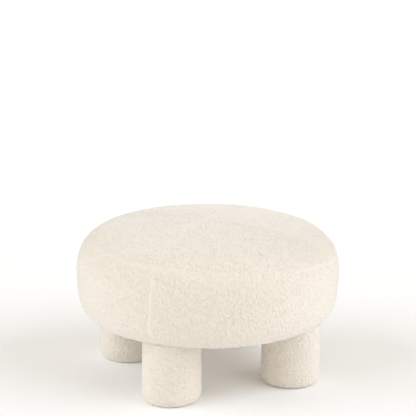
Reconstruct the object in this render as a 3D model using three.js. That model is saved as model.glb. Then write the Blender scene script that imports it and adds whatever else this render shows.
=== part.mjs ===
import * as THREE from "three";

// A round stool covered all over in cream bouclé: a filled seat with a crowned top panel and a deep side band,
// on four short round legs. Millimetres, +Z up, origin on the floor under the middle of the seat, front at -Y.
// An azimuth is in degrees round the seat from the front, positive towards +X.

// Seat
const SEAT_RADIUS = 300;
const SEAT_TOP = 357;
const SEAT_WIDEST_AT = 244;
const SEAT_UNDERSIDE = 146;
const CROWN_RISE = 15;
// How far the shoulder and the lower edge draw in, and how square each is: 2 is an ellipse.
const SHOULDER = { inward: 122, squareness: 2.43 };
const LOWER_EDGE = { inward: 38, squareness: 2.87 };

// The seam between top panel and band: its height wanders round the seat as sewn.
const TOP_SEAM = [
  { azimuth: -180, height: 296 },
  { azimuth: -140, height: 302 },
  { azimuth: -108, height: 311 },
  { azimuth: -82, height: 317 },
  { azimuth: -60, height: 313 },
  { azimuth: -40, height: 308 },
  { azimuth: -20, height: 306 },
  { azimuth: 0, height: 300 },
  { azimuth: 25, height: 295 },
  { azimuth: 45, height: 286 },
  { azimuth: 60, height: 279 },
  { azimuth: 100, height: 283 },
  { azimuth: 140, height: 291 },
  { azimuth: 180, height: 296 },
];
const TOP_SEAM_DEPTH = 4;
const TOP_SEAM_WIDTH = 5;
// The top panel rolls over the seam: how far the roll stands out, and how far above the seam.
const ROLL = { proud: 2, above: 11, width: 8 };

// The upright seam that closes the band over the front left leg, with the left end's fold beside it.
const BAND_SEAM = { azimuth: -46.5, depth: 3, width: 4 };
const BAND_FOLD = { proud: 1.2, left: 10, width: 6 };

// Legs
const LEG_SPACING = 290;
const LEG_TOP_RADIUS = 64;
const LEG_FOOT_RADIUS = 66.5;
const FOOT_EDGE = { inward: 14, height: 21 };
const LEG_TOP_ROUNDING = 6;
const LEGS = [
  { name: "leg_front_left", x: -1, y: -1 },
  { name: "leg_front_right", x: 1, y: -1 },
  { name: "leg_back_right", x: 1, y: 1 },
  { name: "leg_back_left", x: -1, y: 1 },
];

// Clearance between pieces that touch
const GAP = 0.3;

const boucle = { color: 0xece2d3, roughness: 0.95, metalness: 0 };

const bell = (distance, width) => Math.exp(-((distance / width) ** 2));

// A quarter of a squared ellipse, from straight up at 0 to straight out at 1.
function quarter(turn, squareness) {
  const angle = (turn * Math.PI) / 2;
  return {
    out: Math.max(Math.sin(angle), 0) ** (2 / squareness),
    up: Math.max(Math.cos(angle), 0) ** (2 / squareness),
  };
}

// Half of the seat's section, from the middle of the crown to where the underside turns flat: crown, shoulder
// and lower edge, a third of the parameter each.
class SeatSection extends THREE.Curve {
  getPoint(t, target = new THREE.Vector2()) {
    const stretch = Math.min(Math.floor(t * 3), 2);
    const along = t * 3 - stretch;
    const crownRadius = SEAT_RADIUS - SHOULDER.inward;
    const crownEdge = SEAT_TOP - CROWN_RISE;
    if (stretch === 0) {
      return target.set(crownRadius * along, crownEdge + CROWN_RISE * (1 - along ** 2));
    }
    if (stretch === 1) {
      const { out, up } = quarter(along, SHOULDER.squareness);
      const height = SEAT_WIDEST_AT + (crownEdge - SEAT_WIDEST_AT) * up;
      return target.set(crownRadius + SHOULDER.inward * out, height);
    }
    const { out, up } = quarter(1 - along, LOWER_EDGE.squareness);
    const height = SEAT_WIDEST_AT - (SEAT_WIDEST_AT - SEAT_UNDERSIDE) * up;
    return target.set(SEAT_RADIUS - LOWER_EDGE.inward * (1 - out), height);
  }
}

const section = new SeatSection();
section.arcLengthDivisions = 900;
const sectionLength = section.getLength();

// The section's point at a distance along the cloth from the crown's middle, moved out by relief.
function clothPoint(distance, relief) {
  const u = Math.min(distance / sectionLength, 1);
  const tangent = section.getTangentAt(u);
  const point = section.getPointAt(u);
  return { radius: point.x - tangent.y * relief, height: point.y + tangent.x * relief };
}

// The distance along the cloth at which the shoulder comes down to a height.
function distanceAtHeight(height) {
  let above = 0;
  let below = sectionLength;
  for (let halving = 0; halving < 40; halving += 1) {
    const middle = (above + below) / 2;
    if (section.getPointAt(middle / sectionLength).y > height) above = middle;
    else below = middle;
  }
  return above;
}

const seamHeights = new THREE.CubicInterpolant(
  TOP_SEAM.map((row) => row.azimuth),
  TOP_SEAM.map((row) => row.height),
  1,
);
const seamDistance = (azimuth) => distanceAtHeight(seamHeights.evaluate(azimuth)[0]);
const seamMeanHeight = TOP_SEAM.reduce((sum, row) => sum + row.height, 0) / TOP_SEAM.length;

// Even steps round the seat, with closer ones across the band's upright seam.
const STEP = 5;
const SEAM_STEPS_MM = [-20, -14, -9, -5, -2.5, 0, 2.5, 5, 10];
const degreesAlongBand = (mm) => THREE.MathUtils.radToDeg(mm / SEAT_RADIUS);
const seamAzimuths = SEAM_STEPS_MM.map((mm) => BAND_SEAM.azimuth + degreesAlongBand(mm));
const azimuths = [...seamAzimuths];
for (let azimuth = -180; azimuth < 180; azimuth += STEP) {
  const clear = seamAzimuths.every((other) => Math.abs(other - azimuth) > STEP / 4);
  if (clear) azimuths.push(azimuth);
}
azimuths.sort((a, b) => a - b);

// Relief of the cloth beside the top seam: the roll above it and the channel that the stitches draw in.
const channelRelief = (distance) => -TOP_SEAM_DEPTH * bell(distance, TOP_SEAM_WIDTH);
const topRelief = (distance) => channelRelief(distance) + ROLL.proud * bell(distance - ROLL.above, ROLL.width);

// Relief of the band: the same channel, and the upright seam, which dies out at both edges.
function bandRelief(fromSeam, toUnderside, azimuth) {
  const along = THREE.MathUtils.degToRad(azimuth - BAND_SEAM.azimuth) * SEAT_RADIUS;
  const seam = -BAND_SEAM.depth * bell(along, BAND_SEAM.width);
  const fold = BAND_FOLD.proud * bell(along + BAND_FOLD.left, BAND_FOLD.width);
  const fadeAbove = THREE.MathUtils.smoothstep(fromSeam, 0, TOP_SEAM_WIDTH);
  const fadeBelow = THREE.MathUtils.smoothstep(toUnderside, 0, LOWER_EDGE.inward);
  return channelRelief(fromSeam) + (seam + fold) * fadeAbove * fadeBelow;
}

// Rings of the cloth, as distances from the seam and then as shares of what is left.
const RINGS_BY_SEAM = [2.5, 5.5, 9, 13, 20, 30];
const TOP_RINGS_BEYOND = 7;
const BAND_RINGS_BEYOND = 14;

// Where the two pieces meet, at the bottom of the channel.
const rimPoint = (seam) => clothPoint(seam, -TOP_SEAM_DEPTH);

function topPanelColumn(azimuth) {
  const seam = seamDistance(azimuth);
  const nearest = RINGS_BY_SEAM.at(-1);
  const cloth = [rimPoint(seam)];
  RINGS_BY_SEAM.forEach((away) => cloth.push(clothPoint(seam - away, topRelief(away))));
  for (let ring = 1; ring < TOP_RINGS_BEYOND; ring += 1) {
    const away = nearest + ((seam - nearest) * ring) / TOP_RINGS_BEYOND;
    cloth.push(clothPoint(seam - away, topRelief(away)));
  }
  return [
    { radius: 0, height: SEAT_TOP },
    ...cloth.reverse(),
    { radius: 0, height: seamMeanHeight },
  ];
}

function bandColumn(azimuth) {
  const seam = seamDistance(azimuth);
  const nearest = RINGS_BY_SEAM.at(-1);
  const length = sectionLength - seam;
  const relief = (away) => bandRelief(away, length - away, azimuth);
  const rim = rimPoint(seam);
  const cloth = [{ radius: rim.radius, height: rim.height - GAP }];
  RINGS_BY_SEAM.forEach((away) => cloth.push(clothPoint(seam + away, relief(away))));
  for (let ring = 1; ring <= BAND_RINGS_BEYOND; ring += 1) {
    const away = nearest + ((length - nearest) * ring) / BAND_RINGS_BEYOND;
    cloth.push(clothPoint(seam + away, relief(away)));
  }
  cloth.forEach((point) => {
    point.height = Math.max(point.height, SEAT_UNDERSIDE);
  });
  return [
    { radius: 0, height: seamMeanHeight - GAP },
    ...cloth,
    { radius: 0, height: SEAT_UNDERSIDE },
  ];
}

// A closed body from columns that run from its upper pole to its lower pole, one for each azimuth.
function bodyOfColumns(columnAt) {
  const columns = azimuths.map(columnAt);
  const rings = columns[0].length - 2;
  const positions = [];
  columns.forEach((column, index) => {
    const angle = THREE.MathUtils.degToRad(azimuths[index]);
    column.slice(1, -1).forEach(({ radius, height }) => {
      positions.push(radius * Math.sin(angle), -radius * Math.cos(angle), height);
    });
  });
  const upperPole = columns.length * rings;
  const lowerPole = upperPole + 1;
  positions.push(0, 0, columns[0].at(0).height, 0, 0, columns[0].at(-1).height);
  const faces = [];
  columns.forEach((_, index) => {
    const here = index * rings;
    const next = ((index + 1) % columns.length) * rings;
    faces.push(upperPole, here, next);
    for (let ring = 0; ring < rings - 1; ring += 1) {
      faces.push(here + ring, here + ring + 1, next + ring + 1);
      faces.push(here + ring, next + ring + 1, next + ring);
    }
    faces.push(lowerPole, next + rings - 1, here + rings - 1);
  });
  const geometry = new THREE.BufferGeometry();
  geometry.setAttribute("position", new THREE.Float32BufferAttribute(positions, 3));
  geometry.setIndex(faces);
  geometry.computeVertexNormals();
  return geometry;
}

// A leg's section from the floor up: flat foot, turned edge, a wall that flares towards the foot, rounded top.
const LEG_SIDES = 40;
const EDGE_STEPS = 5;
const WALL_STEPS = 4;
const TOP_STEPS = 3;
function legGeometry() {
  const height = SEAT_UNDERSIDE - GAP;
  const wallFoot = FOOT_EDGE.height;
  const wallTop = height - LEG_TOP_ROUNDING;
  const outline = [new THREE.Vector2(0, 0)];
  for (let step = 0; step <= EDGE_STEPS; step += 1) {
    const { out, up } = quarter(step / EDGE_STEPS, 2);
    outline.push(new THREE.Vector2(
      LEG_FOOT_RADIUS - FOOT_EDGE.inward * (1 - out),
      FOOT_EDGE.height * (1 - up),
    ));
  }
  for (let step = 1; step <= WALL_STEPS; step += 1) {
    const rise = step / WALL_STEPS;
    const flare = (LEG_FOOT_RADIUS - LEG_TOP_RADIUS) * (1 - rise) ** 2;
    outline.push(new THREE.Vector2(LEG_TOP_RADIUS + flare, wallFoot + (wallTop - wallFoot) * rise));
  }
  for (let step = 1; step <= TOP_STEPS; step += 1) {
    const { out, up } = quarter(step / TOP_STEPS, 2);
    outline.push(new THREE.Vector2(
      LEG_TOP_RADIUS - LEG_TOP_ROUNDING * (1 - up),
      wallTop + LEG_TOP_ROUNDING * out,
    ));
  }
  outline.push(new THREE.Vector2(0, height));
  return new THREE.LatheGeometry(outline, LEG_SIDES).rotateX(Math.PI / 2);
}

function mesh(name, geometry) {
  const made = new THREE.Mesh(geometry, new THREE.MeshStandardMaterial(boucle));
  made.name = name;
  return made;
}

const stool = new THREE.Group();

const seat = new THREE.Group();
seat.add(mesh("seat_top", bodyOfColumns(topPanelColumn)));
seat.add(mesh("seat_band", bodyOfColumns(bandColumn)));
stool.add(seat);

LEGS.forEach(({ name, x, y }) => {
  const leg = mesh(name, legGeometry());
  leg.position.set((x * LEG_SPACING) / 2, (y * LEG_SPACING) / 2, 0);
  stool.add(leg);
});

export default stool;
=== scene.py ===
"""A round stool covered all over in cream bouclé, on a plain studio floor.

The seat is a filled form, swelled by a cloth simulation under pressure, with a crowned top panel
sewn to a deep band. Four short legs wear sleeves of the same cloth. Each piece's curls are raised
in its mesh, and the material adds the yarn. Metres, +Z up, the stool's front towards -Y. An
azimuth is an angle round the seat from the front, positive towards +X.
"""

import itertools
import math
from typing import NamedTuple

import bpy
import numpy as np
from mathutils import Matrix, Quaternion, Vector
from mathutils.bvhtree import BVHTree


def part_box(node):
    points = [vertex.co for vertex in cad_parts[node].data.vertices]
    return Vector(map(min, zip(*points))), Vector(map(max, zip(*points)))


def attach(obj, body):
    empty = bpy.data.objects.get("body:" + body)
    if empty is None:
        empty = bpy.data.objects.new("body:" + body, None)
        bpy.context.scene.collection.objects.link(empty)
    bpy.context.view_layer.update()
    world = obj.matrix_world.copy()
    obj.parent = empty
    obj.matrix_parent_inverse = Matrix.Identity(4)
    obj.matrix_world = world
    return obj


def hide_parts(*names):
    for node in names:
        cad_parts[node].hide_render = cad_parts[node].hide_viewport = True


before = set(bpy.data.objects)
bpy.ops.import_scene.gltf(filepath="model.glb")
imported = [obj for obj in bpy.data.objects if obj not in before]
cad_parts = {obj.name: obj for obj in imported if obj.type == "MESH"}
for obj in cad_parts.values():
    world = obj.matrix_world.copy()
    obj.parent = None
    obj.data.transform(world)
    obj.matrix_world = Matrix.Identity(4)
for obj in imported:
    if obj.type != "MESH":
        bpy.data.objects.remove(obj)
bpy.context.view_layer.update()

bl_info = {
    "name": "Round Bouclé Stool",
    "version": (1, 0, 0),
    "blender": (4, 5, 0),
    "location": "3D View > Sidebar > Stool",
    "description": "Makes a round stool covered in bouclé, and a plain studio round it",
    "category": "Add Mesh",
}

BODY = "root"
SEAT_LOW, SEAT_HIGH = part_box("seat_band")
CROWN_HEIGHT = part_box("seat_top")[1].z
MM = 0.001


class SeamPoint(NamedTuple):
    """A point of the seam that joins the top panel and the band. Its azimuth is in degrees."""

    azimuth: float
    height: float


TOP_SEAM = (
    SeamPoint(azimuth=-180, height=0.296),
    SeamPoint(azimuth=-140, height=0.302),
    SeamPoint(azimuth=-108, height=0.311),
    SeamPoint(azimuth=-82, height=0.317),
    SeamPoint(azimuth=-60, height=0.313),
    SeamPoint(azimuth=-40, height=0.308),
    SeamPoint(azimuth=-20, height=0.306),
    SeamPoint(azimuth=0, height=0.300),
    SeamPoint(azimuth=25, height=0.295),
    SeamPoint(azimuth=45, height=0.286),
    SeamPoint(azimuth=60, height=0.279),
    SeamPoint(azimuth=100, height=0.283),
    SeamPoint(azimuth=140, height=0.291),
    SeamPoint(azimuth=180, height=0.296),
)


class LegFit(NamedTuple):
    """How much fuller than its solid a leg's sleeve is, and the number its curls start from."""

    name: str
    fuller: float
    seed: int


LEG_FITS = (
    LegFit(name="leg_front_left", fuller=-1.2 * MM, seed=11),
    LegFit(name="leg_front_right", fuller=0.3 * MM, seed=23),
    LegFit(name="leg_back_right", fuller=-0.6 * MM, seed=37),
    LegFit(name="leg_back_left", fuller=-0.9 * MM, seed=41),
)


def length_property(name, description, default):
    """A size in metres that a user may change."""
    return bpy.props.FloatProperty(
        name=name, description=description, default=default, min=0.0, unit="LENGTH", precision=4
    )


def angle_property(name, description, degrees):
    """An angle, given in degrees, that a user may change."""
    return bpy.props.FloatProperty(
        name=name, description=description, default=math.radians(degrees), unit="ROTATION"
    )


def number_property(name, description, default):
    """A plain number that a user may change."""
    return bpy.props.FloatProperty(name=name, description=description, default=default, min=0.0)


def colour_property(name, description, default):
    """A colour that a user may change."""
    return bpy.props.FloatVectorProperty(
        name=name, description=description, default=default, subtype="COLOR", min=0.0, max=1.0
    )


class StoolSeatSizes(bpy.types.PropertyGroup):
    """The seat's section and its seams."""

    radius: length_property("Radius", "Half of the seat's width", (SEAT_HIGH.x - SEAT_LOW.x) / 2)
    top: length_property("Top", "Height of the crown's middle", CROWN_HEIGHT)
    underside: length_property("Underside", "Height of the seat's flat underside", SEAT_LOW.z)
    widest_at: length_property("Widest at", "Height where the band stands out furthest", 0.244)
    crown_rise: length_property("Crown rise", "How far the crown rises over its edge", 0.015)
    shoulder_inward: length_property("Shoulder", "How far the shoulder draws in", 0.122)
    shoulder_squareness: number_property("Shoulder squareness", "2 is an ellipse", 2.43)
    lower_inward: length_property("Lower edge", "How far the lower edge draws in", 0.038)
    lower_squareness: number_property("Lower edge squareness", "2 is an ellipse", 2.87)
    channel_depth: length_property("Channel depth", "How deep the top seam's crease is", 0.0015)
    channel_width: length_property("Channel width", "How wide the top seam's crease is", 0.0042)
    roll: length_property("Roll", "How far the top panel rolls out over its seam", 0.0006)
    roll_width: length_property("Roll width", "How wide that roll is", 0.0090)
    join_azimuth: angle_property("Join", "Where the band's ends are joined", -46.4)
    join_lean: angle_property("Join lean", "How far the join leans from its top to its foot", -1.8)
    join_depth: length_property("Join depth", "How deep the crease beside the join is", 0.0008)
    join_width: length_property("Join width", "How wide that crease is", 0.0030)
    join_fold: length_property("Join fold", "How far the join's fold stands out", 0.0007)
    fold_width: length_property("Fold width", "How wide that fold is", 0.0040)
    swell: length_property("Swell", "The most that the filling moves the cloth", 0.0035)


class StoolLegSizes(bpy.types.PropertyGroup):
    """The legs' section."""

    foot_flare: length_property("Flare", "How much wider a leg is at its foot", 0.0025)
    foot_inward: length_property("Foot edge", "How far the foot's edge turns in", 0.014)
    foot_height: length_property("Foot edge height", "How high the foot's edge starts", 0.021)
    top_rounding: length_property("Top rounding", "How far a sleeve rounds off at its top", 0.006)


class StoolCloth(bpy.types.PropertyGroup):
    """The bouclé."""

    curl_size: length_property("Curl size", "How wide one curl is", 0.0048)
    curl_height: length_property("Curl height", "How far curls stand over the gaps", 0.0034)
    tip: colour_property("Curl", "Colour of the curls' tips", (0.845, 0.793, 0.733))
    # Painted shade: this darker, warmer colour stands in for the shade deep between the curls.
    gap: colour_property("Gap", "Colour deep between the curls", (0.79, 0.695, 0.57))


class StoolStudio(bpy.types.PropertyGroup):
    """The camera, the floor and the lights."""

    azimuth: angle_property("Camera azimuth", "Where the camera stands round the stool", -22.71)
    elevation: angle_property("Camera elevation", "How far the camera looks down", 14.18)
    roll: angle_property("Camera roll", "How far the camera is turned about its own axis", 0.35)
    distance: length_property("Camera distance", "From the camera to what it looks at", 2.874)
    look_height: length_property("Look height", "Height of what the camera looks at", 0.384)
    lens: number_property("Lens", "Focal length in millimetres", 109.27)
    floor: colour_property("Floor", "Colour of the floor", (0.98, 0.98, 0.985))
    sky: number_property("Surrounding light", "Strength of the light from all round", 0.61)
    sky_colour: colour_property("Surrounding colour", "Colour of that light", (1.0, 0.945, 0.80))
    left_power: number_property("Left light", "Strength of the soft light on the left", 1.88)
    right_power: number_property("Right light", "Strength of the soft light on the right", 2.13)
    light_colour: colour_property("Light colour", "Colour of the two lights", (0.825, 0.88, 1.0))
    light_elevation: angle_property("Light elevation", "How high the two lights stand", 24)
    softness: angle_property("Softness", "How wide each light looks from the stool", 65)


def bell(distance, width):
    """One at no distance, fading away past width."""
    return np.exp(-((distance / width) ** 2))


def smooth_step(value, low, high):
    """Nought below low, one above high, and smooth between."""
    share = np.clip((value - low) / (high - low), 0.0, 1.0)
    return share * share * (3 - 2 * share)


# Sections

class Section:
    """Half of a turned form's section: radii and heights, read by distance along the cloth."""

    def __init__(self, radii, heights):
        self.radii = np.asarray(radii, float)
        self.heights = np.asarray(heights, float)
        steps = np.hypot(np.diff(self.radii), np.diff(self.heights))
        self.distances = np.concatenate(([0.0], np.cumsum(steps)))
        self.length = self.distances[-1]
        self.tangent_r = np.gradient(self.radii, self.distances)
        self.tangent_z = np.gradient(self.heights, self.distances)

    def at(self, distance):
        """The cloth's radius and height at a distance, and the way out of it there."""
        radius = np.interp(distance, self.distances, self.radii)
        height = np.interp(distance, self.distances, self.heights)
        out_r = -np.interp(distance, self.distances, self.tangent_z)
        out_z = np.interp(distance, self.distances, self.tangent_r)
        size = np.hypot(out_r, out_z)
        return radius, height, out_r / size, out_z / size

    def points(self, azimuth, distance):
        """Points and outward directions in space, for arrays of azimuths and distances."""
        radius, height, out_r, out_z = self.at(distance)
        sine, cosine = np.sin(azimuth), np.cos(azimuth)
        points = np.stack([radius * sine, -radius * cosine, height], -1)
        outward = np.stack([out_r * sine, -out_r * cosine, out_z], -1)
        return points, outward


def quarter(steps, squareness):
    """A quarter of a squared ellipse, from straight up to straight out, as shares out and up."""
    angle = np.linspace(0.0, math.pi / 2, steps)
    out = np.maximum(np.sin(angle), 0.0) ** (2 / squareness)
    up = np.maximum(np.cos(angle), 0.0) ** (2 / squareness)
    return out, up


SEAT_STEPS = 400  # in each of the crown, the shoulder and the lower edge
UNDERSIDE_SHOWN = 0.02  # how far the band goes on under the seat


def seat_section(seat):
    """The seat's section, from the middle of the crown to just inside the flat underside."""
    crown_radius = seat.radius - seat.shoulder_inward
    crown_edge = seat.top - seat.crown_rise
    share = np.linspace(0.0, 1.0, SEAT_STEPS)
    out, up = quarter(SEAT_STEPS, seat.shoulder_squareness)
    lower_out, lower_up = quarter(SEAT_STEPS, seat.lower_squareness)
    lower_out, lower_up = lower_out[::-1], lower_up[::-1]
    inner = seat.radius - seat.lower_inward
    radii = [
        crown_radius * share,
        crown_radius + seat.shoulder_inward * out[1:],
        inner + seat.lower_inward * lower_out[1:],
        [inner - UNDERSIDE_SHOWN],
    ]
    heights = [
        crown_edge + seat.crown_rise * (1 - share**2),
        seat.widest_at + (crown_edge - seat.widest_at) * up[1:],
        seat.widest_at - (seat.widest_at - seat.underside) * lower_up[1:],
        [seat.underside],
    ]
    return Section(np.concatenate(radii), np.concatenate(heights))


SEAM_SMOOTHING = 9  # degrees


def seam_heights(azimuth):
    """The top seam's height at each azimuth, in radians: the table's rows, joined smoothly."""
    degrees = np.arange(-180, 180)
    rows = np.interp(degrees, [row.azimuth for row in TOP_SEAM], [row.height for row in TOP_SEAM])
    reach = np.arange(-3 * SEAM_SMOOTHING, 3 * SEAM_SMOOTHING + 1)
    weights = bell(reach, SEAM_SMOOTHING)
    turned = [np.roll(rows, step) * weight for step, weight in zip(reach, weights)]
    smooth = sum(turned) / weights.sum()
    return np.interp(np.degrees(azimuth), degrees, smooth, period=360)


def seam_distances(section, azimuth):
    """How far along the cloth from the crown's middle the top seam lies at each azimuth."""
    return np.interp(-seam_heights(azimuth), -section.heights[:-1], section.distances[:-1])


# Steady noise

HASH_STEPS = np.array([[73856093, 19349663, 83492791], [15485863, 32452843, 49979687]])
HASH_SEED_STEP = 374761393
HASH_MIXERS = (2246822519, 3266489917)
LOW_32_BITS = 0xFFFFFFFF
LOW_16_BITS = 0xFFFF


def hashed(cell, seed):
    """Three numbers from 0 to 1 for each cell of a flat grid, the same at every run."""
    mixed = (cell @ HASH_STEPS + seed * HASH_SEED_STEP) & LOW_32_BITS
    mixed = ((mixed ^ (mixed >> 15)) * HASH_MIXERS[0]) & LOW_32_BITS
    mixed = ((mixed ^ (mixed >> 13)) * HASH_MIXERS[1]) & LOW_32_BITS
    return ((mixed ^ (mixed >> 16)) & LOW_16_BITS) / LOW_16_BITS


def soft_noise(flat, size, seed):
    """Smooth noise from -1 to 1 with bumps of about that size."""
    grid = flat / size
    base = np.floor(grid).astype(np.int64)
    share = smooth_step(grid - base, 0.0, 1.0)
    total = np.zeros(len(flat))
    for corner in itertools.product((0, 1), repeat=2):
        weight = np.prod(np.where(corner, share, 1 - share), axis=1)
        total += weight * hashed(base + corner, seed)[:, 0]
    return 2 * total - 1


# The bouclé's curls

# Where a knot lies in its cell and how far it reaches, as shares of the cell.
KNOT_LEAST_PLACE = 0.17
KNOT_PLACE_VARIES = 0.66
KNOT_REACH = 0.72

# How much longer a knot is one way, and how much narrower the other.
LONG_WAY = 1.30
SHORT_WAY = 0.78

LOWEST_KNOT = 0.70
KNOT_HEIGHT_VARIES = 0.30

BEND = 0.20  # how far the big knots' rows are bent, as a share of a curl
BEND_WAVES = 3.6  # how fast that bend comes and goes, in radians for each curl

# The pile is big knots with fine ones among them.
BIG_SHARE = 0.76
FINE_SHARE = 0.26
FINE_SIZE = 0.55
FINE_SEED_STEP = 101


def knots(flat, size, seed):
    """The height of long little knots all over the flat cloth, each turned its own way.

    It is at most 1, on a knot's middle, and 0 between the knots.
    """
    grid = flat / size
    base = np.floor(grid).astype(np.int64)
    height = np.zeros(len(flat))
    for step in itertools.product((-1, 0, 1), repeat=2):
        cell = base + step
        chance = hashed(cell, seed)
        away = grid - (cell + KNOT_LEAST_PLACE + KNOT_PLACE_VARIES * chance[:, :2])
        turn = math.pi * chance[:, 2]
        along = away[:, 0] * np.cos(turn) + away[:, 1] * np.sin(turn)
        across = away[:, 1] * np.cos(turn) - away[:, 0] * np.sin(turn)
        reach = np.hypot(along / LONG_WAY, across / SHORT_WAY)
        own_height = LOWEST_KNOT + KNOT_HEIGHT_VARIES * chance[:, 1]
        height = np.maximum(height, own_height * (1 - (reach / KNOT_REACH) ** 2))
    return height


def pile(flat, cloth, seed):
    """How high the curls stand at each point of the flat cloth: 0 in a gap, 1 on a tip."""
    size = cloth.curl_size
    bent = flat + BEND * size * np.sin(flat[:, ::-1] * (BEND_WAVES / size) + seed)
    big = knots(bent, size, seed)
    fine = knots(flat, FINE_SIZE * size, seed + FINE_SEED_STEP)
    return np.clip(BIG_SHARE * big + FINE_SHARE * fine, 0.0, 1.0)


# The filling

FILLING_COLUMNS = 240
FILLING_ROWS = 110
FILLING_VOXEL = 0.0065
SIMULATED_FRAMES = 20
FILLING_PRESSURE = 4.0
STRETCH_STIFFNESS = 40
BENDING_STIFFNESS = 4
PIN_REACH = 0.007
SLACK = 0.0010
SLACK_FADE = 0.04
FOAM_HOLD = 0.10
FOAM_HOLD_VARIES = 0.06
FOAM_SEED = 3
SEARCH_REACH = 4  # how far a point looks for the swelled cloth, in times the most it may move


def wrapped(columns, along):
    """A grid wrapped round the axis: each point's azimuth and its place along, row by row."""
    round_the_axis = np.linspace(-math.pi, math.pi, columns, endpoint=False)
    azimuth, along = np.meshgrid(round_the_axis, along)
    return azimuth.ravel(), along.ravel()


def wrapped_faces(columns, rows):
    """A wrapped grid's quads, then triangles from its two open rims to two hubs.

    The hubs are the two points that follow the grid's, for the first row and for the last.
    """
    index = np.arange(rows * columns).reshape(rows, columns)
    turned = np.roll(index, -1, axis=1)
    quads = np.stack([index[:-1], index[1:], turned[1:], turned[:-1]], -1).reshape(-1, 4)
    first_hub, last_hub = index.size, index.size + 1
    first = [[first_hub, int(a), int(b)] for a, b in zip(index[0], turned[0])]
    last = [[last_hub, int(b), int(a)] for a, b in zip(index[-1], turned[-1])]
    return quads.tolist() + first + last


def turned_mesh(name, section, inset):
    """A closed mesh turned from a section and drawn in by inset, given azimuths and distances."""
    distances = np.linspace(0.0, section.length, FILLING_ROWS)[1:]
    azimuth, distance = wrapped(FILLING_COLUMNS, distances)
    points, outward = section.points(azimuth, distance)
    points = points - outward * inset(azimuth, distance)[:, None]
    poles = [[0, 0, section.heights[0]], [0, 0, section.heights[-1]]]
    mesh = bpy.data.meshes.new(name)
    faces = wrapped_faces(FILLING_COLUMNS, len(distances))
    mesh.from_pydata(np.vstack([points, poles]).tolist(), [], faces)
    return mesh


class Filling:
    """The seat's filled form: cloth held along its seams and by the foam, swelled by pressure."""

    def __init__(self, seat):
        self.limit = seat.swell
        self.tree = None
        section = seat_section(seat)
        mesh = turned_mesh("filled_seat", section, self.slack_in(section))
        filled = bpy.data.objects.new("filled_seat", mesh)
        bpy.context.scene.collection.objects.link(filled)
        self.remesh(filled)
        self.hold(filled, seat, section)
        self.swell(filled)
        self.tree = BVHTree.FromObject(filled, bpy.context.evaluated_depsgraph_get())
        bpy.data.objects.remove(filled)

    @staticmethod
    def slack_in(section):
        """The cloth starts a little inside its shape between the seams, with room to fill out."""

        def inset(azimuth, distance):
            from_seam = np.abs(distance - seam_distances(section, azimuth))
            return SLACK * smooth_step(from_seam, 0.0, SLACK_FADE)

        return inset

    @staticmethod
    def apply_modifiers(filled):
        """Leaves the object with the mesh that its modifiers give."""
        depsgraph = bpy.context.evaluated_depsgraph_get()
        mesh = bpy.data.meshes.new_from_object(filled.evaluated_get(depsgraph))
        filled.modifiers.clear()
        filled.data = mesh

    def remesh(self, filled):
        """Gives the form an even mesh, as cloth needs."""
        even = filled.modifiers.new("even", "REMESH")
        even.mode = "VOXEL"
        even.voxel_size = FILLING_VOXEL
        self.apply_modifiers(filled)

    @staticmethod
    def hold(filled, seat, section):
        """Pins the cloth along its seams and the flat underside.

        Elsewhere the foam holds it, not quite evenly.
        """
        points = np.array([vertex.co for vertex in filled.data.vertices])
        azimuth = np.arctan2(points[:, 0], -points[:, 1])
        radius = np.hypot(points[:, 0], points[:, 1])
        seam = seam_heights(azimuth)
        seam_radius = section.at(seam_distances(section, azimuth))[0]
        from_top_seam = np.hypot(points[:, 2] - seam, radius - seam_radius)
        from_join = np.abs(azimuth - seat.join_azimuth) * radius
        on_band = points[:, 2] < seam
        sewn = (from_top_seam < PIN_REACH) | ((from_join < PIN_REACH) & on_band)
        sewn |= points[:, 2] < seat.underside + PIN_REACH
        flat = np.stack([azimuth * seat.radius, points[:, 2] + radius], -1)
        foam = FOAM_HOLD + FOAM_HOLD_VARIES * soft_noise(flat, UNEVEN_SIZE, FOAM_SEED)
        group = filled.vertex_groups.new(name="held")
        for index, strength in enumerate(np.where(sewn, 1.0, foam).tolist()):
            group.add([index], strength, "REPLACE")

    def swell(self, filled):
        """Runs the cloth under pressure and keeps its last shape."""
        cloth = filled.modifiers.new("filled", "CLOTH")
        cloth.settings.use_pressure = True
        cloth.settings.uniform_pressure_force = FILLING_PRESSURE
        cloth.settings.effector_weights.gravity = 0.0
        cloth.settings.vertex_group_mass = "held"
        cloth.settings.tension_stiffness = STRETCH_STIFFNESS
        cloth.settings.compression_stiffness = STRETCH_STIFFNESS
        cloth.settings.bending_stiffness = BENDING_STIFFNESS
        cloth.collision_settings.use_collision = False
        cloth.point_cache.frame_end = SIMULATED_FRAMES
        for number in range(1, SIMULATED_FRAMES + 1):
            bpy.context.scene.frame_set(number)
        self.apply_modifiers(filled)
        bpy.context.scene.frame_set(1)

    def move_out(self, points, outward):
        """How far the filling moves each point of the drawn section along the way out."""
        if self.tree is None:
            return np.zeros(len(points))
        reach = SEARCH_REACH * self.limit
        starts = points - outward * reach
        moved = np.zeros(len(points))
        for index, (start, way) in enumerate(zip(starts.tolist(), outward.tolist())):
            hit = self.tree.ray_cast(start, way, 2 * reach)
            if hit[0] is not None:
                moved[index] = hit[3] - reach
        return np.clip(moved, -self.limit, self.limit)


# The pieces

PILE_MIDDLE = 0.36  # the pile's height that lies on the drawn section
UNEVEN_SIZE = 0.085
UNEVEN_DEPTH = 0.0009


def unevenness(flat, seed):
    """Slow bumps of the filling."""
    return UNEVEN_DEPTH * soft_noise(flat, UNEVEN_SIZE, seed)


def raised(points, outward, relief, heights, cloth, kept):
    """The points moved out by their relief and by the curls, of whose height a share is kept."""
    out = relief + kept * cloth.curl_height * (heights - PILE_MIDDLE)
    return points + outward * out[:, None]


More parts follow.
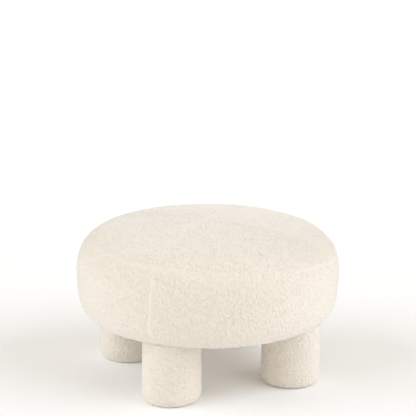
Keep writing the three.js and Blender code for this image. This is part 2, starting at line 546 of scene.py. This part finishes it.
def make_piece(name, points, faces, heights, material):
    """A named object from arrays of points and faces, with its pile's height on each point.

    Its triangles are the hidden lids that close it, each with its hub first. Their rims are marked
    sharp, which keeps the lids out of the smooth shading.
    """
    mesh = bpy.data.meshes.new(name)
    mesh.from_pydata(points.tolist(), [], faces)
    # The material paints shade into the gaps from this height: the lower, the darker and warmer.
    on_points = mesh.attributes.new("pile", "FLOAT", "POINT")
    on_points.data.foreach_set("value", heights.astype(np.float32))
    mesh.shade_smooth()
    rims = {frozenset(face[1:]) for face in faces if len(face) == 3}
    creased = [frozenset(edge.vertices) in rims for edge in mesh.edges]
    mesh.attributes.new("sharp_edge", "BOOLEAN", "EDGE").data.foreach_set("value", creased)
    mesh.materials.append(material)
    piece = bpy.data.objects.new(name, mesh)
    bpy.context.scene.collection.objects.link(piece)
    return piece


def declare(piece, node):
    """Attaches the piece to the body that it rides on, and hides the solid that it stands for."""
    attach(piece, BODY)
    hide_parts(node)


# The seat's two pieces

TOP_CELLS = 260
TOP_SEED = 5
BAND_COLUMNS = 4 * TOP_CELLS  # as many as round the top panel's rim, so that the edges meet
BAND_ROWS = 95
BAND_SEED = 17
BELOW_TOP_PANEL = 0.0003  # from the top panel's hidden hub down to the band's

SEAM_FADE = 0.03  # over which the filling's bumps and the join begin, away from the top seam
SEAM_BLEND = 0.0065  # how far the band's curls run on over the seam
SEWN_REACH = 0.0040
SEWN_DOWN = 0.20  # the share of their height that curls lose on the seam
ROLL_PLACE = 0.8  # how far above the seam the roll's middle is, in times its width
CREASE_PLACE = 1.5  # how far beside the join its crease is, in times the fold's width
JOIN_FADE = 0.012  # over which the join begins, above the underside
COMBED = 0.4  # how much the curls on the join's fold are evened out
FOLD_PILE = 0.70  # the height that they are evened out to, as a share of the curls'


def disc_grid(cells):
    """A square grid of cells bent to a round disc: each point's azimuth and share of the radius."""
    line = np.linspace(-1.0, 1.0, cells + 1)
    across, along = (side.ravel() for side in np.meshgrid(line, line))
    wide = np.abs(across) >= np.abs(along)
    reach = np.where(wide, across, along)
    divisor = np.where(reach == 0, 1.0, reach)
    turn = math.pi / 4 * np.where(wide, along, across) / divisor
    angle = np.where(wide, turn, math.pi / 2 - turn)
    x, y = reach * np.cos(angle), reach * np.sin(angle)
    return np.arctan2(x, -y), np.hypot(x, y)


def disc_faces(cells, hub):
    """The disc's quads, and triangles from its rim to a hub below it that close the piece."""
    index = np.arange((cells + 1) ** 2).reshape(cells + 1, cells + 1)
    corners = [index[:-1, :-1], index[:-1, 1:], index[1:, 1:], index[1:, :-1]]
    quads = np.stack(corners, -1).reshape(-1, 4)
    rim = np.concatenate([index[0, :-1], index[:-1, -1], index[-1, :0:-1], index[:0:-1, 0]])
    closing = [[hub, int(b), int(a)] for a, b in zip(rim, np.roll(rim, -1))]
    return quads.tolist() + closing


def seam_relief(seat, past_seam):
    """The top seam's crease and the roll above it. Above the seam, past_seam is below nought."""
    roll = seat.roll * bell(past_seam + ROLL_PLACE * seat.roll_width, seat.roll_width)
    return roll - seat.channel_depth * bell(past_seam, seat.channel_width)


def sewn_down(from_seam):
    """How much of their height the curls keep: less on the seam itself."""
    return 1 - SEWN_DOWN * bell(from_seam, SEWN_REACH)


def along_band(seat, azimuth, down):
    """How far round the band each point is from the band's join, at a share of the way down."""
    join = seat.join_azimuth + seat.join_lean * (down - 0.5)
    return (np.remainder(azimuth - join + math.pi, 2 * math.pi) - math.pi) * seat.radius


def band_flat(seat, along, distance):
    """Each point's place on the band's flat strip, which starts and ends at the join."""
    return np.stack([np.remainder(along, 2 * math.pi * seat.radius), distance], -1)


def rim_height():
    """The height of the hidden hub that closes the top panel."""
    return np.mean([row.height for row in TOP_SEAM])


def top_panel(seat, cloth, filling, material):
    """The crowned top panel, rolled over at its seam, where its curls run on into the band's."""
    section = seat_section(seat)
    azimuth, share = disc_grid(TOP_CELLS)
    seam = seam_distances(section, azimuth)
    distance = seam * share
    from_seam = seam - distance
    points, outward = section.points(azimuth, distance)
    flat = distance[:, None] * np.stack([np.sin(azimuth), -np.cos(azimuth)], -1)
    relief = filling.move_out(points, outward) + seam_relief(seat, -from_seam)
    relief += unevenness(flat, TOP_SEED) * smooth_step(from_seam, 0.0, SEAM_FADE)
    blend = bell(from_seam, SEAM_BLEND)
    strip = band_flat(seat, along_band(seat, azimuth, 0.0), distance)
    heights = (1 - blend) * pile(flat, cloth, TOP_SEED) + blend * pile(strip, cloth, BAND_SEED)
    points = raised(points, outward, relief, heights, cloth, sewn_down(from_seam))
    faces = disc_faces(TOP_CELLS, len(points))
    points = np.vstack([points, [[0, 0, rim_height()]]])
    return make_piece("top_panel", points, faces, np.append(heights, 0.0), material)


def side_band(seat, cloth, filling, material):
    """The deep side band, drawn in at its lower edge and closed by one upright join."""
    section = seat_section(seat)
    azimuth, down = wrapped(BAND_COLUMNS, np.linspace(0.0, 1.0, BAND_ROWS))
    seam = seam_distances(section, azimuth)
    distance = seam + (section.length - seam) * down
    from_seam = distance - seam
    to_end = section.length - distance
    clear_of_seam = smooth_step(from_seam, 0.0, SEAM_FADE)
    points, outward = section.points(azimuth, distance)
    along = along_band(seat, azimuth, down)
    flat = band_flat(seat, along, distance)
    relief = filling.move_out(points, outward) + seam_relief(seat, from_seam)
    fold = bell(along, seat.fold_width)
    beside = bell(along + CREASE_PLACE * seat.fold_width, seat.join_width)
    join = seat.join_fold * fold - seat.join_depth * beside
    join *= smooth_step(to_end, UNDERSIDE_SHOWN, UNDERSIDE_SHOWN + JOIN_FADE)
    relief += (join + unevenness(flat, BAND_SEED)) * clear_of_seam
    kept = sewn_down(from_seam) * smooth_step(to_end, 0.0, UNDERSIDE_SHOWN)
    heights = pile(flat, cloth, BAND_SEED)
    heights += COMBED * fold * (FOLD_PILE - heights) * clear_of_seam
    points = raised(points, outward, relief, heights, cloth, kept)
    hubs = [[0, 0, rim_height() - BELOW_TOP_PANEL], [0, 0, seat.underside]]
    points = np.vstack([points, hubs])
    heights = np.append(heights, [0.0, 0.0])
    faces = wrapped_faces(BAND_COLUMNS, BAND_ROWS)
    return make_piece("side_band", points, faces, heights, material)


# The legs

LEG_COLUMNS = 264
LEG_ROWS = 104
LEG_TOP_STEPS = 40
LEG_WALL_STEPS = 120
LEG_FOOT_STEPS = 80
TRUE_ELLIPSE = 2
SOLE_SHOWN = 0.010  # how far the sleeve goes on under the foot, and in over the leg's top
FIT_FADE = 0.03  # where a sleeve has come to its own fullness, from its ends


def leg_section(legs, radius, height):
    """A leg's section, from a little way in on its top, down the wall and round to its sole."""
    top_out, top_up = quarter(LEG_TOP_STEPS, TRUE_ELLIPSE)
    rise = np.linspace(1.0, 0.0, LEG_WALL_STEPS)
    wall_radius = radius - legs.foot_flare + legs.foot_flare * (1 - rise) ** 2
    wall_top = height - legs.top_rounding
    foot_out, foot_up = quarter(LEG_FOOT_STEPS, TRUE_ELLIPSE)
    narrow = radius - legs.foot_flare - legs.top_rounding
    radii = [
        [narrow - SOLE_SHOWN],
        narrow + legs.top_rounding * top_out,
        wall_radius[1:],
        radius - legs.foot_inward * (1 - foot_out[::-1][1:]),
        [radius - legs.foot_inward - SOLE_SHOWN],
    ]
    heights = [
        [height],
        wall_top + legs.top_rounding * top_up,
        legs.foot_height + (wall_top - legs.foot_height) * rise[1:],
        legs.foot_height * (1 - foot_up[::-1][1:]),
        [0.0],
    ]
    return Section(np.concatenate(radii), np.concatenate(heights))


def leg(fit, legs, cloth, material):
    """One leg in its sleeve, turned in at the top and at the foot."""
    low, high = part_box(fit.name)
    centre = (low + high) / 2
    section = leg_section(legs, (high.x - low.x) / 2, high.z)
    azimuth, distance = wrapped(LEG_COLUMNS, np.linspace(0.0, section.length, LEG_ROWS))
    to_end = np.minimum(distance, section.length - distance)
    points, outward = section.points(azimuth, distance)
    place = np.array([centre.x, centre.y, 0.0])
    flat = np.stack([azimuth * (high.x - low.x) / 2, distance], -1)
    kept = smooth_step(to_end, 0.0, SOLE_SHOWN)
    relief = fit.fuller * smooth_step(to_end, SOLE_SHOWN, FIT_FADE)
    relief = relief + unevenness(flat, fit.seed) * kept
    heights = pile(flat, cloth, fit.seed)
    points = raised(points + place, outward, relief, heights, cloth, kept)
    points[:, 2] = np.clip(points[:, 2], 0.0, high.z)
    points = np.vstack([points, [place + [0, 0, high.z], place]])
    heights = np.append(heights, [0.0, 0.0])
    faces = wrapped_faces(LEG_COLUMNS, LEG_ROWS)
    return make_piece(fit.name + "_sleeve", points, faces, heights, material)


# Materials

class Wire:
    """A node's output in an expression: each operator adds the Math node that works it out."""

    def __init__(self, finish, socket):
        self.finish = finish
        self.socket = socket

    def __add__(self, other):
        return self.finish.maths("ADD", self, other)

    def __sub__(self, other):
        return self.finish.maths("SUBTRACT", self, other)

    def __rsub__(self, other):
        return self.finish.maths("SUBTRACT", other, self)

    def __mul__(self, other):
        return self.finish.maths("MULTIPLY", self, other)

    __radd__ = __add__
    __rmul__ = __mul__


class Finish:
    """A material in the making."""

    def __init__(self, name):
        self.material = bpy.data.materials.new(name)
        self.material.use_nodes = True
        self.tree = self.material.node_tree
        self.tree.nodes.clear()

    def node(self, kind, settings, sockets, output):
        """Adds a node with its settings, then its sockets' values or links, and gives an output."""
        made = self.tree.nodes.new(kind)
        for name, value in settings.items():
            setattr(made, name, value)
        for name, value in sockets.items():
            if isinstance(value, Wire):
                self.tree.links.new(value.socket, made.inputs[name])
            else:
                made.inputs[name].default_value = value
        return Wire(self, made.outputs[output]) if output is not None else None

    def maths(self, operation, first, second):
        """Adds a Math node."""
        settings = {"operation": operation}
        return self.node("ShaderNodeMath", settings, {0: first, 1: second}, "Value")

    def mix(self, share, first, second):
        """Adds a node that mixes two colours."""
        sockets = {"Factor": share, "A": first, "B": second}
        return self.node("ShaderNodeMix", {"data_type": "RGBA"}, sockets, "Result")


CLOTH_NAME = "cream_curls"

# Patterns per metre.
YARN_SCALE = 620.0
LOOPS_SCALE = 300.0
TONE_SCALE = 9.0

# Where each pattern is neither light nor dark.
NOISE_MIDDLE = 0.5
LOOPS_MIDDLE = 0.4

# How far each pattern takes a place from the gaps' painted shade to the tips' colour. Height and
# loops paint shade into the low places between the curls and the fine loops; yarn and tone are
# random changes of the cloth's own tone.
LIGHTER_BY_HEIGHT = 1.1
DARKER_ALL_OVER = 0.05
LIGHTER_BY_LOOPS = 0.5
LIGHTER_BY_YARN = 0.3
LIGHTER_BY_TONE = 0.2

# How far the fine relief stands out.
YARN_RELIEF = 0.5
LOOPS_RELIEF = 0.9
RELIEF_STRENGTH = 0.34
RELIEF_HEIGHT = 0.0012

CLOTH_ROUGHNESS = 0.88
CLOTH_ROUGHNESS_VARIES = 0.2


def cream_boucle(cloth):
    """Cream bouclé: light tips, painted warm shade in the gaps, fine yarn in the curls and slow
    changes of tone.
    """
    finish = Finish(CLOTH_NAME)
    place = finish.node("ShaderNodeTexCoord", {}, {}, "Object")
    height = finish.node("ShaderNodeAttribute", {"attribute_name": "pile"}, {}, "Fac")
    sockets = {"Vector": place, "Scale": YARN_SCALE, "Detail": 3.0, "Distortion": 1.2}
    yarn = finish.node("ShaderNodeTexNoise", {}, sockets, "Fac")
    sockets = {"Vector": place, "Scale": LOOPS_SCALE}
    loops = finish.node("ShaderNodeTexVoronoi", {}, sockets, "Distance")
    sockets = {"Vector": place, "Scale": TONE_SCALE, "Detail": 2.0}
    tone = finish.node("ShaderNodeTexNoise", {}, sockets, "Fac")
    # Painted shade: where the pile is low, and towards the rims of the fine loops, the colour goes
    # darker and warmer.
    share = height * LIGHTER_BY_HEIGHT - DARKER_ALL_OVER
    share = share + (LOOPS_MIDDLE - loops) * LIGHTER_BY_LOOPS
    share = share + (yarn - NOISE_MIDDLE) * LIGHTER_BY_YARN
    share = share + (tone - NOISE_MIDDLE) * LIGHTER_BY_TONE
    # From the gaps' painted shade to the tips' own colour.
    colour = finish.mix(share, (*cloth.gap, 1.0), (*cloth.tip, 1.0))
    sockets = {
        "Strength": RELIEF_STRENGTH,
        "Distance": RELIEF_HEIGHT,
        "Height": yarn * YARN_RELIEF - loops * LOOPS_RELIEF,
    }
    bump = finish.node("ShaderNodeBump", {}, sockets, "Normal")
    sockets = {
        "Base Color": colour,
        "Roughness": CLOTH_ROUGHNESS + (yarn - NOISE_MIDDLE) * CLOTH_ROUGHNESS_VARIES,
        "Normal": bump,
        "Specular IOR Level": 0.15,
        "Sheen Weight": 0.7,
        "Sheen Roughness": 0.5,
        "Sheen Tint": (1.0, 0.99, 0.97, 1.0),
    }
    surface = finish.node("ShaderNodeBsdfPrincipled", {}, sockets, "BSDF")
    finish.node("ShaderNodeOutputMaterial", {}, {"Surface": surface}, None)
    return finish.material


GRAIN_SCALE = 3.0
FLOOR_ROUGHNESS = 0.9
FLOOR_ROUGHNESS_VARIES = 0.05


def plain_floor(studio):
    """A matt pale floor."""
    finish = Finish("studio_floor")
    place = finish.node("ShaderNodeTexCoord", {}, {}, "Object")
    sockets = {"Vector": place, "Scale": GRAIN_SCALE, "Detail": 2.0}
    grain = finish.node("ShaderNodeTexNoise", {}, sockets, "Fac")
    sockets = {
        "Base Color": (*studio.floor, 1.0),
        "Roughness": FLOOR_ROUGHNESS + (grain - NOISE_MIDDLE) * FLOOR_ROUGHNESS_VARIES,
        "Specular IOR Level": 0.0,
    }
    surface = finish.node("ShaderNodeBsdfPrincipled", {}, sockets, "BSDF")
    finish.node("ShaderNodeOutputMaterial", {}, {"Surface": surface}, None)
    return finish.material


def cloth_material(scene):
    """The stool's one cloth, made once."""
    return bpy.data.materials.get(CLOTH_NAME) or cream_boucle(scene.stool_cloth)


# The studio

FLOOR_RADIUS = 40.0
FLOOR_CORNERS = 96
LIGHTS_TO_SIDES = math.radians(76)  # from the camera's azimuth


def from_stool(azimuth, elevation, distance, height=0.0):
    """A point at a distance from a height on the stool's axis, and the way from there to it."""
    way = Vector((
        math.sin(azimuth) * math.cos(elevation),
        -math.cos(azimuth) * math.cos(elevation),
        math.sin(elevation),
    ))
    return Vector((0, 0, height)) + way * distance, way


def add_camera(studio):
    """A camera that looks at the stool's axis."""
    data = bpy.data.cameras.new("camera")
    data.lens = studio.lens
    camera = bpy.data.objects.new("camera", data)
    camera.location, way = from_stool(
        studio.azimuth, studio.elevation, studio.distance, studio.look_height
    )
    rolled = Quaternion((0, 0, 1), studio.roll)
    camera.rotation_mode = "QUATERNION"
    camera.rotation_quaternion = (-way).to_track_quat("-Z", "Y") @ rolled
    bpy.context.scene.collection.objects.link(camera)
    bpy.context.scene.camera = camera


def add_light(name, studio, power, azimuth):
    """A wide soft light, so far off that it falls evenly on the stool and the floor."""
    data = bpy.data.lights.new(name, "SUN")
    data.energy = power
    data.color = studio.light_colour
    data.angle = studio.softness
    light = bpy.data.objects.new(name, data)
    light.location, way = from_stool(azimuth, studio.light_elevation, studio.distance)
    light.rotation_euler = (-way).to_track_quat("-Z", "Y").to_euler()
    bpy.context.scene.collection.objects.link(light)


def add_floor(studio):
    """A wide round floor."""
    mesh = bpy.data.meshes.new("studio_floor")
    angles = np.linspace(0.0, 2 * math.pi, FLOOR_CORNERS, endpoint=False)
    rim = [(FLOOR_RADIUS * math.cos(a), FLOOR_RADIUS * math.sin(a), 0.0) for a in angles]
    mesh.from_pydata(rim, [], [list(range(len(rim)))])
    mesh.materials.append(plain_floor(studio))
    floor = bpy.data.objects.new("studio_floor", mesh)
    bpy.context.scene.collection.objects.link(floor)


def add_surrounding_light(studio):
    """Even light from all round."""
    world = bpy.data.worlds.new("studio")
    world.use_nodes = True
    background = world.node_tree.nodes["Background"]
    background.inputs["Color"].default_value = (*studio.sky_colour, 1.0)
    background.inputs["Strength"].default_value = studio.sky
    bpy.context.scene.world = world


# The add-on

FILLINGS = {}


def seat_filling(scene):
    """The seat's filling, swelled once for each set of sizes, for the two pieces that cover it."""
    sizes = tuple(getattr(scene.stool_seat, name) for name in StoolSeatSizes.__annotations__)
    if sizes not in FILLINGS:
        FILLINGS[sizes] = Filling(scene.stool_seat)
    return FILLINGS[sizes]


class STOOL_OT_stage(bpy.types.Operator):
    """Make the camera, the floor and the lights"""

    bl_idname = "stool.stage"
    bl_label = "Stage"

    def execute(self, context):
        studio = context.scene.stool_studio
        add_camera(studio)
        add_floor(studio)
        add_surrounding_light(studio)
        add_light("left_light", studio, studio.left_power, studio.azimuth - LIGHTS_TO_SIDES)
        add_light("right_light", studio, studio.right_power, studio.azimuth + LIGHTS_TO_SIDES)
        context.scene.view_settings.view_transform = "Standard"
        return {"FINISHED"}


class STOOL_OT_top_panel(bpy.types.Operator):
    """Make the crowned top panel"""

    bl_idname = "stool.top_panel"
    bl_label = "Top Panel"

    def execute(self, context):
        scene = context.scene
        filling = seat_filling(scene)
        material = cloth_material(scene)
        piece = top_panel(scene.stool_seat, scene.stool_cloth, filling, material)
        declare(piece, "seat_top")
        return {"FINISHED"}


class STOOL_OT_side_band(bpy.types.Operator):
    """Make the deep side band"""

    bl_idname = "stool.side_band"
    bl_label = "Side Band"

    def execute(self, context):
        scene = context.scene
        filling = seat_filling(scene)
        material = cloth_material(scene)
        piece = side_band(scene.stool_seat, scene.stool_cloth, filling, material)
        declare(piece, "seat_band")
        return {"FINISHED"}


class STOOL_OT_legs(bpy.types.Operator):
    """Make the four legs in their sleeves"""

    bl_idname = "stool.legs"
    bl_label = "Legs"

    def execute(self, context):
        scene = context.scene
        for fit in LEG_FITS:
            piece = leg(fit, scene.stool_legs, scene.stool_cloth, cloth_material(scene))
            declare(piece, fit.name)
        return {"FINISHED"}


OPERATORS = (STOOL_OT_stage, STOOL_OT_top_panel, STOOL_OT_side_band, STOOL_OT_legs)
GROUPS = {
    "stool_seat": StoolSeatSizes,
    "stool_legs": StoolLegSizes,
    "stool_cloth": StoolCloth,
    "stool_studio": StoolStudio,
}


class VIEW3D_PT_stool(bpy.types.Panel):
    """The stool's pieces, sizes and colours"""

    bl_idname = "VIEW3D_PT_stool"
    bl_label = "Round Bouclé Stool"
    bl_space_type = "VIEW_3D"
    bl_region_type = "UI"
    bl_category = "Stool"

    def draw(self, context):
        for operator in OPERATORS:
            self.layout.operator(operator.bl_idname)
        for name, group in GROUPS.items():
            box = self.layout.box()
            box.label(text=group.__doc__)
            for size in group.__annotations__:
                box.prop(getattr(context.scene, name), size)


def register():
    for group in GROUPS.values():
        bpy.utils.register_class(group)
    for name, group in GROUPS.items():
        setattr(bpy.types.Scene, name, bpy.props.PointerProperty(type=group))
    for operator in OPERATORS:
        bpy.utils.register_class(operator)
    bpy.utils.register_class(VIEW3D_PT_stool)


def unregister():
    bpy.utils.unregister_class(VIEW3D_PT_stool)
    for operator in OPERATORS:
        bpy.utils.unregister_class(operator)
    for name, group in GROUPS.items():
        delattr(bpy.types.Scene, name)
        bpy.utils.unregister_class(group)


def main():
    register()
    for operator in OPERATORS:
        group, name = operator.bl_idname.split(".")
        getattr(getattr(bpy.ops, group), name)()


if __name__ == "__main__":
    main()
